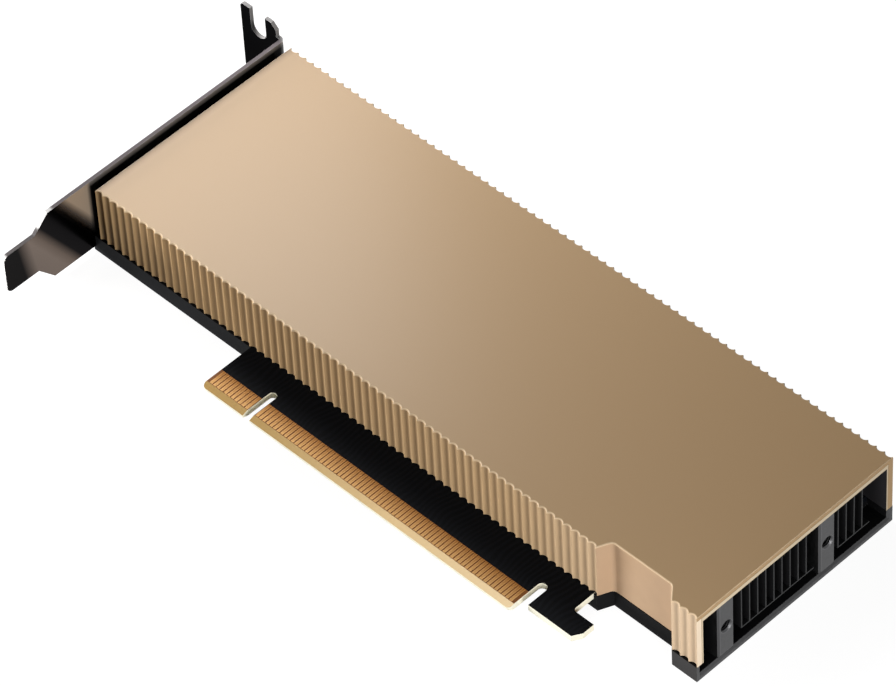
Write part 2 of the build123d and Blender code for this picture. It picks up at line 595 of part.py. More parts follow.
def small_capacitors(x, y, columns, rows, z0):
    """A grid of small capacitors, centred on a place on one side of the board."""
    step_x, step_y = SMALL_CAP_STEP
    return [tile(x + (i - (columns - 1) / 2) * step_x, y + (j - (rows - 1) / 2) * step_y,
                 SMALL_CAP_L, SMALL_CAP_W, z0, z0 + SMALL_CAP_T)
            for i in range(columns) for j in range(rows)]


def make_inductor(y):
    """A moulded power inductor with cut corners."""
    coil = tile(PLATE_X1 - INDUCTOR_IN, y, INDUCTOR_W, INDUCTOR_W, 0, INDUCTOR_T)
    return chamfer(coil.edges().filter_by(Axis.Z), INDUCTOR_CHAMFER)


PARTS["cover"] = make_cover()
PARTS["rear_tray"] = make_tray()
PARTS["circuit_board"] = make_board()
PARTS["front_contacts"] = make_contacts(0, CONTACT_T)
PARTS["rear_contacts"] = make_contacts(BOARD_LOW_Z - CONTACT_T, BOARD_LOW_Z)
PARTS["bracket"] = make_bracket()
PARTS["bracket_screws"] = [bracket_screw(y) for y in POST_Y]
PARTS["bracket_posts"] = [make_post(NEAR_POST_X, y, -1) for y in POST_Y]
PARTS["end_posts"] = [make_post(FAR_POST_X, y, 1) for y in POST_Y]
PARTS["post_screws"] = [flat_screw(x, y, POST_SCREW_HEAD_R, POST_SCREW_R,
                                   TRAY_FLOOR_Z + SCREW_REACH) for x, y in POSTS]
PARTS["cover_screws"] = [flat_screw(x, y, M2_HEAD_R, M2_R, SCREW_REACH)
                         for x, y in COVER_SCREWS]
PARTS["heatsink_screws"] = [pan_screw(x, y, BOARD_LOW_Z, SCREW_REACH) for x, y in PILLARS]
PARTS["heatsink_plate"] = make_plate()
PARTS["regulator_plate"] = block(PLATE_SPLIT_X, PLATE_X1, *PLATE_Y,
                                 REGULATOR_LOW_Z, PLATE_TOP_Z)
PARTS["fin_stack"] = [make_fin(i) for i in range(FIN_COUNT)]
PARTS["processor_substrate"] = gpu_tile(SUBSTRATE_W, SUBSTRATE_W, 0, SUBSTRATE_T)
PARTS["processor_die"] = gpu_tile(DIE_L, DIE_W, SUBSTRATE_T, DIE_TOP_Z)
PARTS["processor_stiffener"] = make_stiffener()
PARTS["die_paste"] = gpu_tile(DIE_L, DIE_W, DIE_TOP_Z, PLATE_LOW_Z)
PARTS["memory_chips"] = [tile(x, y, MEMORY_L, MEMORY_W, 0, MEMORY_T) for x, y in MEMORY]
PARTS["memory_pads"] = [tile(x, y, MEMORY_L, MEMORY_W, MEMORY_T, PLATE_LOW_Z)
                        for x, y in MEMORY]
PARTS["inductors"] = [make_inductor(y) for y in REGULATOR_ROWS]
PARTS["inductor_pads"] = [tile(PLATE_X1 - INDUCTOR_IN, y, INDUCTOR_PAD_W, INDUCTOR_PAD_W,
                               INDUCTOR_T, REGULATOR_LOW_Z) for y in REGULATOR_ROWS]
PARTS["power_stages"] = [tile(PLATE_X1 - STAGE_IN, y, STAGE_W, STAGE_L, 0, STAGE_T)
                         for y in REGULATOR_ROWS]
PARTS["bulk_capacitors"] = [tile(PLATE_X1 - BULK_CAP_IN, y, BULK_CAP_W, BULK_CAP_L,
                                 0, BULK_CAP_T) for y in REGULATOR_ROWS]
PARTS["control_chips"] = [tile(x, y, CHIP_W, CHIP_W, 0, CHIP_T) for x, y in CHIPS]
PARTS["front_capacitors"] = small_capacitors(
    PLATE_X0 + FRONT_CAP_IN, MIDDLE_Y, 1, FRONT_CAP_ROW_COUNT, 0)
PARTS["rear_capacitors"] = small_capacitors(
    GPU_X, MIDDLE_Y, REAR_CAP_GRID_COUNT, REAR_CAP_GRID_COUNT, BOARD_LOW_Z - SMALL_CAP_T)
PARTS["rear_pads"] = [tile(GPU_X + side * MEMORY_OUT, MIDDLE_Y, REAR_PAD_W, REAR_PAD_L,
                           FILM_TOP_Z, BOARD_LOW_Z) for side in (-1, 1)]
PARTS["insulating_film"] = make_film()

os.makedirs("parts", exist_ok=True)
for node, shape in PARTS.items():
    solids = shape if isinstance(shape, list) else [shape]
    whole = Compound(children=[solid for item in solids for solid in item.solids()])
    export_step(whole, os.path.join("parts", node + ".step"))
    print(node, len(whole.solids()), round(whole.volume, 1))
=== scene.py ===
# Looks of the passive accelerator card: finishes, fine edges, light and camera.
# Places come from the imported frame. Lengths are in millimetres unless a line says metres.

import json
import math

import bmesh
import bpy
from mathutils import Matrix, Vector


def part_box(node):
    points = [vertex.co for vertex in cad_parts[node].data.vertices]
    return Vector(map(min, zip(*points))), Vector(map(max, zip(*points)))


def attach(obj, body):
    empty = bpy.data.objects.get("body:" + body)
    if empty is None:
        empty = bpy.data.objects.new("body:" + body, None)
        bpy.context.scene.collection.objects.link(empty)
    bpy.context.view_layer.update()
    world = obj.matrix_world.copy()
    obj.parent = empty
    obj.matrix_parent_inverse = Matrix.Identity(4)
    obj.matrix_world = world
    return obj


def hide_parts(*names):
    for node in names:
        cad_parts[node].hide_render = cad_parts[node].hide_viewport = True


MM = 0.001

# Camera, in metres, fitted to the photograph
CAMERA_PLACE = (0.62043, -0.51744, 0.89633)
CAMERA_FORWARD = (-0.49696, 0.45887, -0.73652)
CAMERA_UP = (-0.49839, 0.54388, 0.67513)
SENSOR_MM = 36.0
LENS_MM = 245.59
CLIP = (0.01, 50.0)

# Fluted cover; its lugs' places are from its near end
FLUTES = 76
RELIEF_FLUTES = 9
END_FLUTES = 3
FLUTE_DEPTH = 0.56
RIDGE_FLAT = 0.16
FLUTE_STEPS = 12
RELIEF_DEPTH = 3.20
RELIEF_RUN_IN = 1.45
RELIEF_RUN_OUT = 2.77
RELIEF_R = 1.20
RELIEF_STEPS = 8
COVER_WALL = 1.80
COVER_ROOF = 2.10
RIM = 0.26
RIM_STEPS = 3
FOOT_RIM = 0.12
NEAR_CHAMFER = 0.20
FAR_CHAMFER = 0.15
SEAM_ROOF = 1.00
SEAM_WALL = 1.38
SEAM_W = 0.10
SEAM_DEPTH = 0.15
LUG_W = 5.20
LUG_DEPTH = 3.50
LUG_H = 6.00
LUG_IN = (12.45, 74.45, 128.45)
LUG_SINK = 0.20
LUG_HOLE_R = 1.00
LUG_HOLE_TOP = 4.00
HOLE_STEPS = 24

# How far a cutter runs past the face that it opens
SPARE = 1.00

# Points nearer than this are one point, and faces within this angle are one face
WELD = 0.0005
FLAT_ANGLE = 0.5

# A point nearer to a cutting plane than ON_PLANE lies in it, and a face or a corner nearer
# to a place than CLOSE belongs to it
ON_PLANE = 0.0001
CLOSE = 0.01

# Sizes of a face's unit normal along an axis, by which its finish is chosen
SQUARE = 0.99
LEVEL = 0.97
UNDER = -0.9
BROAD = 0.7
TURNED = 0.6
ACROSS = 0.3
LEANING = 0.1

# How far from the cover's far end the tray's lighter end face may lie
END_ZONE = 1.0

# Order of the cover's finishes; the inner band and the front wall's end are at the far end.
# The rim's finish and the front wall's end's finish are lighter as painted highlights.
ON_ROOF, ON_BAND, INSIDE, ON_SIDE, ON_RIM, ON_WALL_END, ON_RELIEF = range(7)

# Board, with the fades of its pads' tones across and along a pad
MASK_LINE_Y = 5.48
TAB_END_X = 72.61
BEVEL_LINE_Y = 1.40
CONTACT_PITCH = 1.00
PAD_EDGE_FADE = (0.10, 0.38)
PAD_END_FADE = (1.5, 5.4)

# Tones of the pads' lower and upper ends, each from the middle of a pad to its edge
PAD_LOW_TONES = ((176, 134, 80), (192, 152, 98))
PAD_HIGH_TONES = ((132, 84, 33), (174, 122, 58))

# Edge roundings of the pieces taken from the frame; edges sharper than EDGE_ANGLE get one
EDGE_ANGLE = 35
EDGE_STEPS = 2
BRACKET_EDGE = 0.12
TRAY_EDGE = 0.10
POST_EDGE = 0.10
SCREW_EDGE = 0.07

# Tapped holes of the posts, and the thread of those at the far end
POST_Y = (21.80, 50.20)
BORE_Z = 5.10
BORE_R = 1.25
BORE_SKIN = 0.05
THREAD_PITCH = 0.50
THREAD_HALF = 0.18
THREAD_SUNK = 0.02
THREAD_CREST = 0.15
THREAD_L = 3.00
THREAD_START = 0.40
THREAD_STEPS = 32

# Where the bracket's folded tab begins
BRACKET_BODY_X = -58.90

# Painted reflections on the bracket's inner face, as slanting bands laid along z + lean * y,
# with their tones, and where they turn from a mirror into a matt coat
REFLECTION_LEAN = 1.56
REFLECTION_REACH = (-8.0, 30.0)
REFLECTION_BANDS = ((-3.0, (110, 99, 92)), (6.0, (118, 106, 98)), (9.0, (104, 92, 84)),
         (12.5, (28, 27, 28)), (20.5, (24, 23, 24)), (24.0, (120, 112, 106)),
         (27.0, (204, 184, 162)))
BAND_MATT = (22.0, 27.0)

# The painted reflections fade out towards the tongue's tip, along y + lean * z, and behind
# the cover's near end, above a y. There the face takes a dark tone, a painted dark reflection
# at the tip and painted shade behind the cover, turning to painted light above the cover's
# shadow along its upper edge.
TIP_LEAN = 0.155
TIP_FADE = (-4.8, -1.6)
PAINTED_DARK_TONE = (30, 29, 29)
SHADE_FADE = (12.8, 13.8)
PAINTED_LIGHT_FADE = (14.2, 15.6)
PAINTED_LIGHT_TONE = (150, 144, 140)

# Painted shade in the cover's channels: its dark tone, its share at the near and the far end,
# where it starts and is full in pitches from a ridge, and its shift in pitches
GROOVE_SHADE_TONE = (52, 34, 18)
GROOVE_SHADE_SHARE = (0.78, 0.20)
GROOVE_SHADE_FADE = (0.12, 0.5)
GROOVE_SHADE_SHIFT = -0.06

# Tones along x, as (place, colour): the cover's roof and sides, the tray's front and the
# bevel of the board's contact edge
# The roof darkens within about 1.7 mm of its near end: painted shade of the edge beside the
# bracket.
ROOF_TONES_WITH_END_SHADE = ((-56.45, (104, 80, 52)), (-56.1, (136, 109, 76)), (-55.6, (160, 130, 93)),
              (-54.8, (178, 147, 108)), (109.0, (178, 147, 108)))
# The sides turn paler and whiter towards the far end: painted light.
SIDE_TONES_WITH_PAINTED_LIGHT = ((-56.0, (178, 147, 107)), (60.0, (181, 153, 117)), (109.0, (198, 175, 148)))
# The tray's front is lighter towards both its ends: painted sheen.
TRAY_SHEEN_TONES = ((-56.0, (33, 34, 36)), (0.0, (15, 15, 16)), (100.0, (15, 15, 16)),
              (102.0, (57, 56, 56)))
BEVEL_TONES = ((-12.0, (170, 136, 78)), (4.0, (176, 144, 88)), (40.0, (222, 192, 142)),
               (72.0, (230, 204, 160)))

# Tones along y of the bracket's cut edges and of their roundings, with painted glints at the
# tongue's tip, the shoulder and the tab
CUT_TONES_AND_GLINTS = ((-11.0, (190, 188, 186)), (-9.6, (190, 188, 186)), (-9.2, (84, 80, 80)),
             (-0.8, (84, 80, 80)), (-0.4, (200, 198, 196)), (3.2, (200, 198, 196)),
             (3.8, (100, 94, 95)), (67.5, (118, 110, 112)), (68.4, (150, 148, 147)))
RIM_GLINT_TONES = ((-11.0, (245, 244, 242)), (-9.6, (245, 244, 242)), (-9.2, (84, 82, 80)),
             (-0.8, (84, 82, 80)), (-0.4, (245, 244, 242)), (3.2, (245, 244, 242)),
             (3.8, (130, 126, 124)), (67.5, (160, 156, 154)), (68.4, (240, 240, 239)))

# Floor: its reach in metres, its gap below the card, its grey and its glow where it is seen
FLOOR_REACH = 4.0
FLOOR_GAP = 0.05
FLOOR_GREY = 0.22
FLOOR_GLOW = 0.92

# Light level of the surroundings
WORLD_LEVEL = 0.01

# Lamps: place, target and size in metres, and power in watts
LAMPS = {
    "key": ((-0.180, 0.129, 0.198), (-0.056, 0.014, 0.014), (0.12, 0.12), 0.75),
    "high": ((-0.55, 0.50, 0.80), (0.03, 0.04, 0.014), (0.25, 0.25), 0.70),
    "left": ((-0.88, -0.68, 0.15), (0.03, 0.014, 0.007), (0.50, 0.20), 15.5),
    "right": ((0.45, -0.10, 0.040), (0.08, 0.02, 0.007), (0.10, 0.10), 1.02),
    "near": ((0.15, -0.07, 0.042), (0.10, 0.017, 0.007), (0.05, 0.05), 0.068),
    "gap": ((-0.070, -0.030, 0.022), (-0.045, 0.0136, 0.008), (0.02, 0.012), 0.016),
}


def srgb(red, green, blue):
    """A colour given in 0 to 255, as the linear values that shaders take."""
    def one(value):
        value /= 255
        return value / 12.92 if value <= 0.04045 else ((value + 0.055) / 1.055) ** 2.4
    return one(red), one(green), one(blue)


def shader_of(name):
    """A new material, its node tree and its shader."""
    mat = bpy.data.materials.new(name)
    mat.use_nodes = True
    return mat, mat.node_tree, mat.node_tree.nodes["Principled BSDF"]


def place_of(tree, stretch=(1, 1, 1)):
    """The object's own coordinates, stretched."""
    coords = tree.nodes.new("ShaderNodeTexCoord")
    mapping = tree.nodes.new("ShaderNodeMapping")
    mapping.inputs["Scale"].default_value = stretch
    tree.links.new(coords.outputs["Object"], mapping.inputs["Vector"])
    return mapping.outputs["Vector"]


def axes_of(tree):
    """The object's own coordinates, one output for each axis."""
    split = tree.nodes.new("ShaderNodeSeparateXYZ")
    tree.links.new(place_of(tree), split.inputs["Vector"])
    return split.outputs


def work_out(tree, operation, *terms):
    """A sum in the shader; each term is an output or a plain number."""
    node = tree.nodes.new("ShaderNodeMath")
    node.operation = operation
    for term, entry in zip(terms, node.inputs):
        if isinstance(term, (int, float)):
            entry.default_value = term
        else:
            tree.links.new(term, entry)
    return node.outputs["Value"]


def noise(tree, scale, stretch=(1, 1, 1)):
    """Noise in the object's own coordinates, its scale in waves per metre."""
    tex = tree.nodes.new("ShaderNodeTexNoise")
    tex.inputs["Scale"].default_value = scale
    tex.inputs["Detail"].default_value = 3.0
    tree.links.new(place_of(tree, stretch), tex.inputs["Vector"])
    return tex.outputs["Fac"]


def band(tree, source, low, high, start=0.3, end=0.7):
    """Map the stretch of a value from start to end onto one from low to high."""
    node = tree.nodes.new("ShaderNodeMapRange")
    node.inputs["From Min"].default_value = start
    node.inputs["From Max"].default_value = end
    node.inputs["To Min"].default_value = low
    node.inputs["To Max"].default_value = high
    tree.links.new(source, node.inputs["Value"])
    return node.outputs["Result"]


def ramp(tree, source, stops):
    """A colour ramp fed by a value; stops are (place, colour)."""
    node = tree.nodes.new("ShaderNodeValToRGB")
    items = node.color_ramp.elements
    while len(items) < len(stops):
        items.new(0.5)
    for item, (place, colour) in zip(items, stops):
        item.position = place
        item.color = (*colour, 1)
    tree.links.new(source, node.inputs["Fac"])
    return node.outputs["Color"]


def blend(tree, share, first, second):
    """The first colour fading into the second as the share grows from 0 to 1."""
    node = tree.nodes.new("ShaderNodeMix")
    node.data_type = "RGBA"
    tree.links.new(share, node.inputs["Factor"])
    tree.links.new(first, node.inputs["A"])
    if isinstance(second, tuple):
        node.inputs["B"].default_value = (*second, 1)
    else:
        tree.links.new(second, node.inputs["B"])
    return node.outputs["Result"]


def relief(tree, shader, source, height):
    """Fine relief on a shader, its height in millimetres."""
    node = tree.nodes.new("ShaderNodeBump")
    node.inputs["Distance"].default_value = height * MM
    tree.links.new(source, node.inputs["Height"])
    tree.links.new(node.outputs["Normal"], shader.inputs["Normal"])


def grained(tree, shader, grain, rough, height, stretch=(1, 1, 1)):
    """A fine grain in a shader's gloss, over a range of roughness, and in its relief."""
    fine = noise(tree, grain, stretch)
    tree.links.new(band(tree, fine, *rough), shader.inputs["Roughness"])
    relief(tree, shader, fine, height)


def surface(name, colour, rough, metallic=0.0, grain=1500.0, shift=0.10, height=0.002,
            rough_shift=0.04, stretch=(1, 1, 1), coat=0.0, coat_rough=0.1, level=0.5):
    """A surface with slight changes of colour and gloss and a fine grain."""
    mat, tree, shader = shader_of(name)
    wide = noise(tree, grain / 20)
    dark = tuple(c * (1 - shift) for c in colour)
    light = tuple(min(1.0, c * (1 + shift)) for c in colour)
    tree.links.new(ramp(tree, wide, [(0.35, dark), (0.65, light)]), shader.inputs["Base Color"])
    grained(tree, shader, grain, (rough - rough_shift, rough + rough_shift), height, stretch)
    shader.inputs["Metallic"].default_value = metallic
    shader.inputs["Coat Weight"].default_value = coat
    shader.inputs["Coat Roughness"].default_value = coat_rough
    shader.inputs["Specular IOR Level"].default_value = level
    return mat


def add_piece(name, mesh, mats):
    """A mesh as a piece with its finishes; it rides on the card."""
    mesh.materials.clear()
    for mat in mats:
        mesh.materials.append(mat)
    piece = bpy.data.objects.new(name, mesh)
    bpy.context.scene.collection.objects.link(piece)
    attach(piece, "root")
    return piece


def clean_copy(node):
    """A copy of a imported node's mesh with its flat faces whole."""
    mesh = frame["nodes"][node].data.copy()
    work = bmesh.new()
    work.from_mesh(mesh)
    bmesh.ops.remove_doubles(work, verts=work.verts, dist=WELD * MM)
    bmesh.ops.dissolve_limit(work, angle_limit=math.radians(FLAT_ANGLE), verts=work.verts,
                             edges=work.edges)
    for face in work.faces:
        face.material_index = 0
        face.smooth = True
    work.to_mesh(mesh)
    work.free()
    return mesh


def part_faces(mesh, place, normal):
    """Part a mesh's faces along a plane, so that each side can have its own finish."""
    work = bmesh.new()
    work.from_mesh(mesh)
    bmesh.ops.bisect_plane(work, geom=work.verts[:] + work.edges[:] + work.faces[:],
                           dist=ON_PLANE * MM, plane_co=place, plane_no=normal)
    work.to_mesh(mesh)
    work.free()


def round_edges(piece, width):
    """Round a piece's sharp edges, with its last finish where it has several."""
    edge = piece.modifiers.new("edge", "BEVEL")
    if len(piece.data.materials) > 1:
        edge.material = len(piece.data.materials) - 1
    edge.width = width * MM
    edge.segments = EDGE_STEPS
    edge.limit_method = "ANGLE"
    edge.angle_limit = math.radians(EDGE_ANGLE)
    settle(piece)


def settle(piece):
    """Apply a piece's modifiers to its mesh."""
    graph = bpy.context.evaluated_depsgraph_get()
    mesh = bpy.data.meshes.new_from_object(piece.evaluated_get(graph))
    piece.modifiers.clear()
    piece.data = mesh


def shade(piece, angle=40):
    """Smooth faces, sharp beyond an angle, with normals that follow the large flat faces."""
    piece.data.polygons.foreach_set("use_smooth", [True] * len(piece.data.polygons))
    piece.data.set_sharp_from_angle(angle=math.radians(angle))
    weigh = piece.modifiers.new("weigh", "WEIGHTED_NORMAL")
    weigh.keep_sharp = True
    weigh.weight = 80
    settle(piece)


def dressed(node, name, mats, width, choose=None):
    """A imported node's own shape with rounded edges, in its place."""
    piece = add_piece(name, clean_copy(node), mats)
    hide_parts(node)
    for face in piece.data.polygons:
        face.material_index = choose(face) if choose else 0
    round_edges(piece, width)
    shade(piece)


def as_mesh(name, work):
    """A mesh of a shape that was drawn in millimetres."""
    bmesh.ops.recalc_face_normals(work, faces=work.faces)
    bmesh.ops.scale(work, vec=(MM, MM, MM), verts=work.verts)
    mesh = bpy.data.meshes.new(name)
    work.to_mesh(mesh)
    work.free()
    return mesh


def cutter(name, boxes=(), outline=None, span=None, rods=()):
    """A closed cutting body of boxes, of one outline raised in z, and of upright rods."""
    work = bmesh.new()
    for x0, x1, y0, y1, z0, z1 in boxes:
        size = Matrix.Diagonal((x1 - x0, y1 - y0, z1 - z0, 1))
        place = Matrix.Translation(((x0 + x1) / 2, (y0 + y1) / 2, (z0 + z1) / 2))
        bmesh.ops.create_cube(work, size=1, matrix=place @ size)
    if outline:
        raise_outline(work, [(x, y, span[0]) for x, y in outline],
                      Vector((0, 0, span[1] - span[0])))
    for x, y, z0, z1, radius in rods:
        place = Matrix.Translation((x, y, (z0 + z1) / 2))
        bmesh.ops.create_cone(work, segments=HOLE_STEPS, cap_ends=True, radius1=radius,
                              radius2=radius, depth=z1 - z0, matrix=place)
    return bpy.data.objects.new(name, as_mesh(name, work))


def raise_outline(work, points, way):
    """A closed prism from an outline and the way it is raised."""
    face = work.faces.new([work.verts.new(p) for p in points])
    raised = bmesh.ops.extrude_face_region(work, geom=[face], use_keep_orig=True)
    moved = [item for item in raised["geom"] if isinstance(item, bmesh.types.BMVert)]
    bmesh.ops.translate(work, vec=way, verts=moved)


def cut(piece, body, operation="DIFFERENCE"):
    """A boolean step with a body that is then removed."""
    bpy.context.scene.collection.objects.link(body)
    step = piece.modifiers.new("cut", "BOOLEAN")
    step.operation = operation
    step.solver = "EXACT"
    step.object = body
    settle(piece)
    bpy.data.objects.remove(body)


# Frame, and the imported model's own box
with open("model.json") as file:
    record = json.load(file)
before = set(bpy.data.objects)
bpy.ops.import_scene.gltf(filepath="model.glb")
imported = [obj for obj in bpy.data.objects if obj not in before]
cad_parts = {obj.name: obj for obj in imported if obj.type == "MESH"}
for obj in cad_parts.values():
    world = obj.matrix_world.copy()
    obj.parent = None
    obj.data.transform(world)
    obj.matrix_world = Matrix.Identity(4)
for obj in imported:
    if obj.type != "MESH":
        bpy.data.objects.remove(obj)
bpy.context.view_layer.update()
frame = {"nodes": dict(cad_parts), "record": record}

# Places of the cover, read from the frame
low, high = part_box("cover")
X0, Y0, Z0 = (c / MM for c in low)
X1, Y1, Z1 = (c / MM for c in high)
PITCH = (X1 - X0) / FLUTES
FLUTE_HALF = (PITCH - RIDGE_FLAT) / 2
FLUTE_R = (FLUTE_HALF ** 2 + FLUTE_DEPTH ** 2) / (2 * FLUTE_DEPTH)
FLUTE_OUT = FLUTE_R - FLUTE_DEPTH
RELIEF_LAST = FLUTES - END_FLUTES
RELIEF_FIRST = RELIEF_LAST - RELIEF_FLUTES
RELIEF_X0 = X0 + RELIEF_FIRST * PITCH
RELIEF_X1 = X0 + RELIEF_LAST * PITCH
DEEP_Y = Y0 + RELIEF_DEPTH


def slope(start, end):
    """A relief slope as its normal into the metal and its offset."""
    along = (Vector(end) - Vector(start)).normalized()
    normal = Vector((-along.y, along.x))
    return normal, normal.dot(Vector(start))


SLOPE_IN = slope((RELIEF_X0, Y0), (RELIEF_X0 + RELIEF_RUN_IN, DEEP_Y))
SLOPE_OUT = slope((RELIEF_X1 - RELIEF_RUN_OUT, DEEP_Y), (RELIEF_X1, Y0))
DEEP = (Vector((0, 1)), DEEP_Y)
RIDGE = (Vector((0, 1)), Y0)


def meet(line_a, line_b, inset):
    """The point that two lines share when both are moved into the metal."""
    (a, c), (b, d) = line_a, line_b
    c, d = c + inset, d + inset
    det = a.x * b.y - a.y * b.x
    return Vector(((c * b.y - d * a.y) / det, (a.x * d - b.x * c) / det))


def flute(index, inset):
    """Points of one channel of the front side, left to right, set into the metal."""
    radius = FLUTE_R + inset
    half = min(PITCH / 2, math.sqrt(radius ** 2 - (FLUTE_OUT + inset) ** 2))
    start, end = -math.asin(half / radius), math.asin(half / radius)
    centre = Vector((X0 + (index + 0.5) * PITCH, Y0 - FLUTE_OUT))
    if index == RELIEF_FIRST - 1:
        end = min(end, slope_angle(centre, radius, SLOPE_IN, inset, 1))
    if index == RELIEF_LAST:
        start = max(start, slope_angle(centre, radius, SLOPE_OUT, inset, -1))
    turns = [start + (end - start) * k / FLUTE_STEPS for k in range(FLUTE_STEPS + 1)]
    return [centre + radius * Vector((math.sin(t), math.cos(t))) for t in turns]


def slope_angle(centre, radius, line, inset, side):
    """Where a channel's arc meets a slope."""
    normal, offset = line
    reach = (offset + inset - normal.dot(centre)) / radius
    return math.atan2(normal.x, normal.y) + side * math.acos(max(-1.0, min(1.0, reach)))


def relief_points(inset):
    """The relief's slopes, its deep face and the fillets between them."""
    points = []
    for before, after in ((SLOPE_IN, DEEP), (DEEP, SLOPE_OUT)):
        centre = meet(before, after, -RELIEF_R)
        first, last = (math.atan2(n.y, n.x) for n, _ in (before, after))
        for k in range(RELIEF_STEPS + 1):
            turn = first + (last - first) * k / RELIEF_STEPS
            points.append(centre + (RELIEF_R + inset) * Vector((math.cos(turn), math.sin(turn))))
    return points


def outline(inset):
    """The cover's outline seen from above, set into the metal."""
    left = [p for i in range(RELIEF_FIRST) for p in flute(i, inset)]
    right = [p for i in range(RELIEF_LAST, FLUTES) for p in flute(i, inset)]
    corner_in = meet(RIDGE, SLOPE_IN, inset)
    corner_out = meet(RIDGE, SLOPE_OUT, inset)
    if corner_in.x < left[-1].x:
        corner_in = left[-1]
    if corner_out.x > right[0].x:
        corner_out = right[0]
    front = left + [corner_in] + relief_points(inset) + [corner_out] + right
    plain = [p for i in range(FLUTES) for p in flute(i, inset)]
    back = [Vector((p.x, Y0 + Y1 - p.y)) for p in reversed(plain)]
    edge = RIDGE_FLAT / 2
    low_y = max(Y0 + inset + edge, front[0].y)
    high_y = Y0 + Y1 - low_y
    return ([Vector((X0, low_y))] + front + [Vector((X1, low_y)), Vector((X1, high_y))]
            + back + [Vector((X0, high_y))])


def cover_block():
    """The cover's outer form: fluted sides, rounded rim and chamfered ends."""
    levels = [(FOOT_RIM, Z0), (FOOT_RIM / 4, Z0 + FOOT_RIM / 2), (0.0, Z0 + FOOT_RIM),
              (0.0, Z1 - RIM)]
    for k in range(1, RIM_STEPS + 1):
        turn = math.pi / 2 * k / RIM_STEPS
        levels.append((RIM * (1 - math.cos(turn)), Z1 - RIM * (1 - math.sin(turn))))
    rings = [[Vector((p.x, p.y, z)) for p in outline(inset)] for inset, z in levels]
    work = bmesh.new()
    rows = [[work.verts.new(p) for p in ring] for ring in rings]
    count = len(rows[0])
    for lower, upper in zip(rows, rows[1:]):
        for i in range(count):
            j = (i + 1) % count
            work.faces.new((lower[i], lower[j], upper[j], upper[i]))
    work.faces.new(rows[-1])
    work.faces.new(list(reversed(rows[0])))
    bmesh.ops.remove_doubles(work, verts=work.verts, dist=WELD)
    for edge_x, side, size in ((X0, -1, NEAR_CHAMFER), (X1, 1, FAR_CHAMFER)):
        parted = bmesh.ops.bisect_plane(
            work, geom=work.verts[:] + work.edges[:] + work.faces[:], dist=ON_PLANE,
            plane_co=(edge_x, 0, Z1 - size), plane_no=(side, 0, 1), clear_outer=True)
        rim = [item for item in parted["geom_cut"] if isinstance(item, bmesh.types.BMEdge)]
        bmesh.ops.contextual_create(work, geom=rim)
    return as_mesh("cover_shell", work)


def make_cover(finishes):
    """The cover as one shell, open below and at both ends."""
    cover = add_piece("cover_shell", cover_block(), finishes)
    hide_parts("cover")
    lines = (RIDGE, SLOPE_IN, DEEP, SLOPE_OUT, RIDGE)
    corners = [tuple(meet(*pair, COVER_WALL)) for pair in zip(lines, lines[1:])]
    front, back = Y0 + COVER_WALL, Y1 - COVER_WALL
    inner = [(X0 - SPARE, front), *corners, (X1 + SPARE, front), (X1 + SPARE, back),
             (X0 - SPARE, back)]
    cut(cover, cutter("cavity", outline=inner, span=(Z0 - SPARE, Z1 - COVER_ROOF)))
    lugs, holes = [], []
    for dx in LUG_IN:
        for y, side in ((front, 1), (back, -1)):
            edges = sorted((y - side * LUG_SINK, y + side * LUG_DEPTH))
            x = X0 + dx
            lugs.append((x - LUG_W / 2, x + LUG_W / 2, *edges, Z0, LUG_H))
            holes.append((x, y + side * LUG_DEPTH / 2, Z0 - SPARE, LUG_HOLE_TOP, LUG_HOLE_R))
    cut(cover, cutter("lugs", boxes=lugs), "UNION")
    cut(cover, cutter("holes", rods=holes))
    cut(cover, seam_cutter())
    part_faces(cover.data, (0, 0, (Z1 - SEAM_ROOF) * MM), (0, 0, 1))
    for face in cover.data.polygons:
        face.material_index = cover_finish(cover.data, face)
    shade(cover)


def cover_finish(mesh, face):
    """Which of the cover's finishes a face has."""
    at = face.center / MM
    if face.normal.x > SQUARE and at.x > X1 - CLOSE:
        return far_end_finish([mesh.vertices[i].co / MM for i in face.vertices])
    inset = min(at.y - Y0, Y1 - at.y)
    inward = face.normal.y if at.y < (Y0 + Y1) / 2 else -face.normal.y
    under = inset > COVER_WALL - CLOSE and at.z < Z1 - COVER_ROOF + CLOSE
    if under and (inward > -LEANING or face.normal.z < UNDER):
        return INSIDE
    if at.z < Z0 + FOOT_RIM or (at.z > Z1 - RIM and LEANING < face.normal.z < LEVEL):
        return ON_RIM
    if abs(face.normal.z) > LEANING or not X0 + CLOSE < at.x < X1 - CLOSE:
        return ON_ROOF
    return ON_SIDE if inset < FLUTE_DEPTH + CLOSE else ON_RELIEF


def far_end_finish(points):
    """The finish of a face of the cover's far end, from its corners."""
    if all(p.y < Y0 + COVER_WALL + CLOSE and p.z < Z1 - SEAM_ROOF + CLOSE for p in points):
        return ON_WALL_END
    inner = all(Y0 + SEAM_WALL < p.y < Y1 - SEAM_WALL and p.z < Z1 - SEAM_ROOF for p in points)
    return ON_BAND if inner else ON_ROOF


def seam_cutter():
    """A fine seam round the far end's rim, parting its outer and inner bands."""
    a, b = Y0 + SEAM_WALL, Y1 - SEAM_WALL
    top = Z1 - SEAM_ROOF
    points = [(a, Z0 - SPARE), (a, top), (b, top), (b, Z0 - SPARE),
              (b - SEAM_W, Z0 - SPARE), (b - SEAM_W, top - SEAM_W),
              (a + SEAM_W, top - SEAM_W), (a + SEAM_W, Z0 - SPARE)]
    work = bmesh.new()
    raise_outline(work, [(X1 - SEAM_DEPTH, y, z) for y, z in points],
                  Vector((SEAM_DEPTH + SPARE, 0, 0)))
    return bpy.data.objects.new("seam", as_mesh("seam", work))


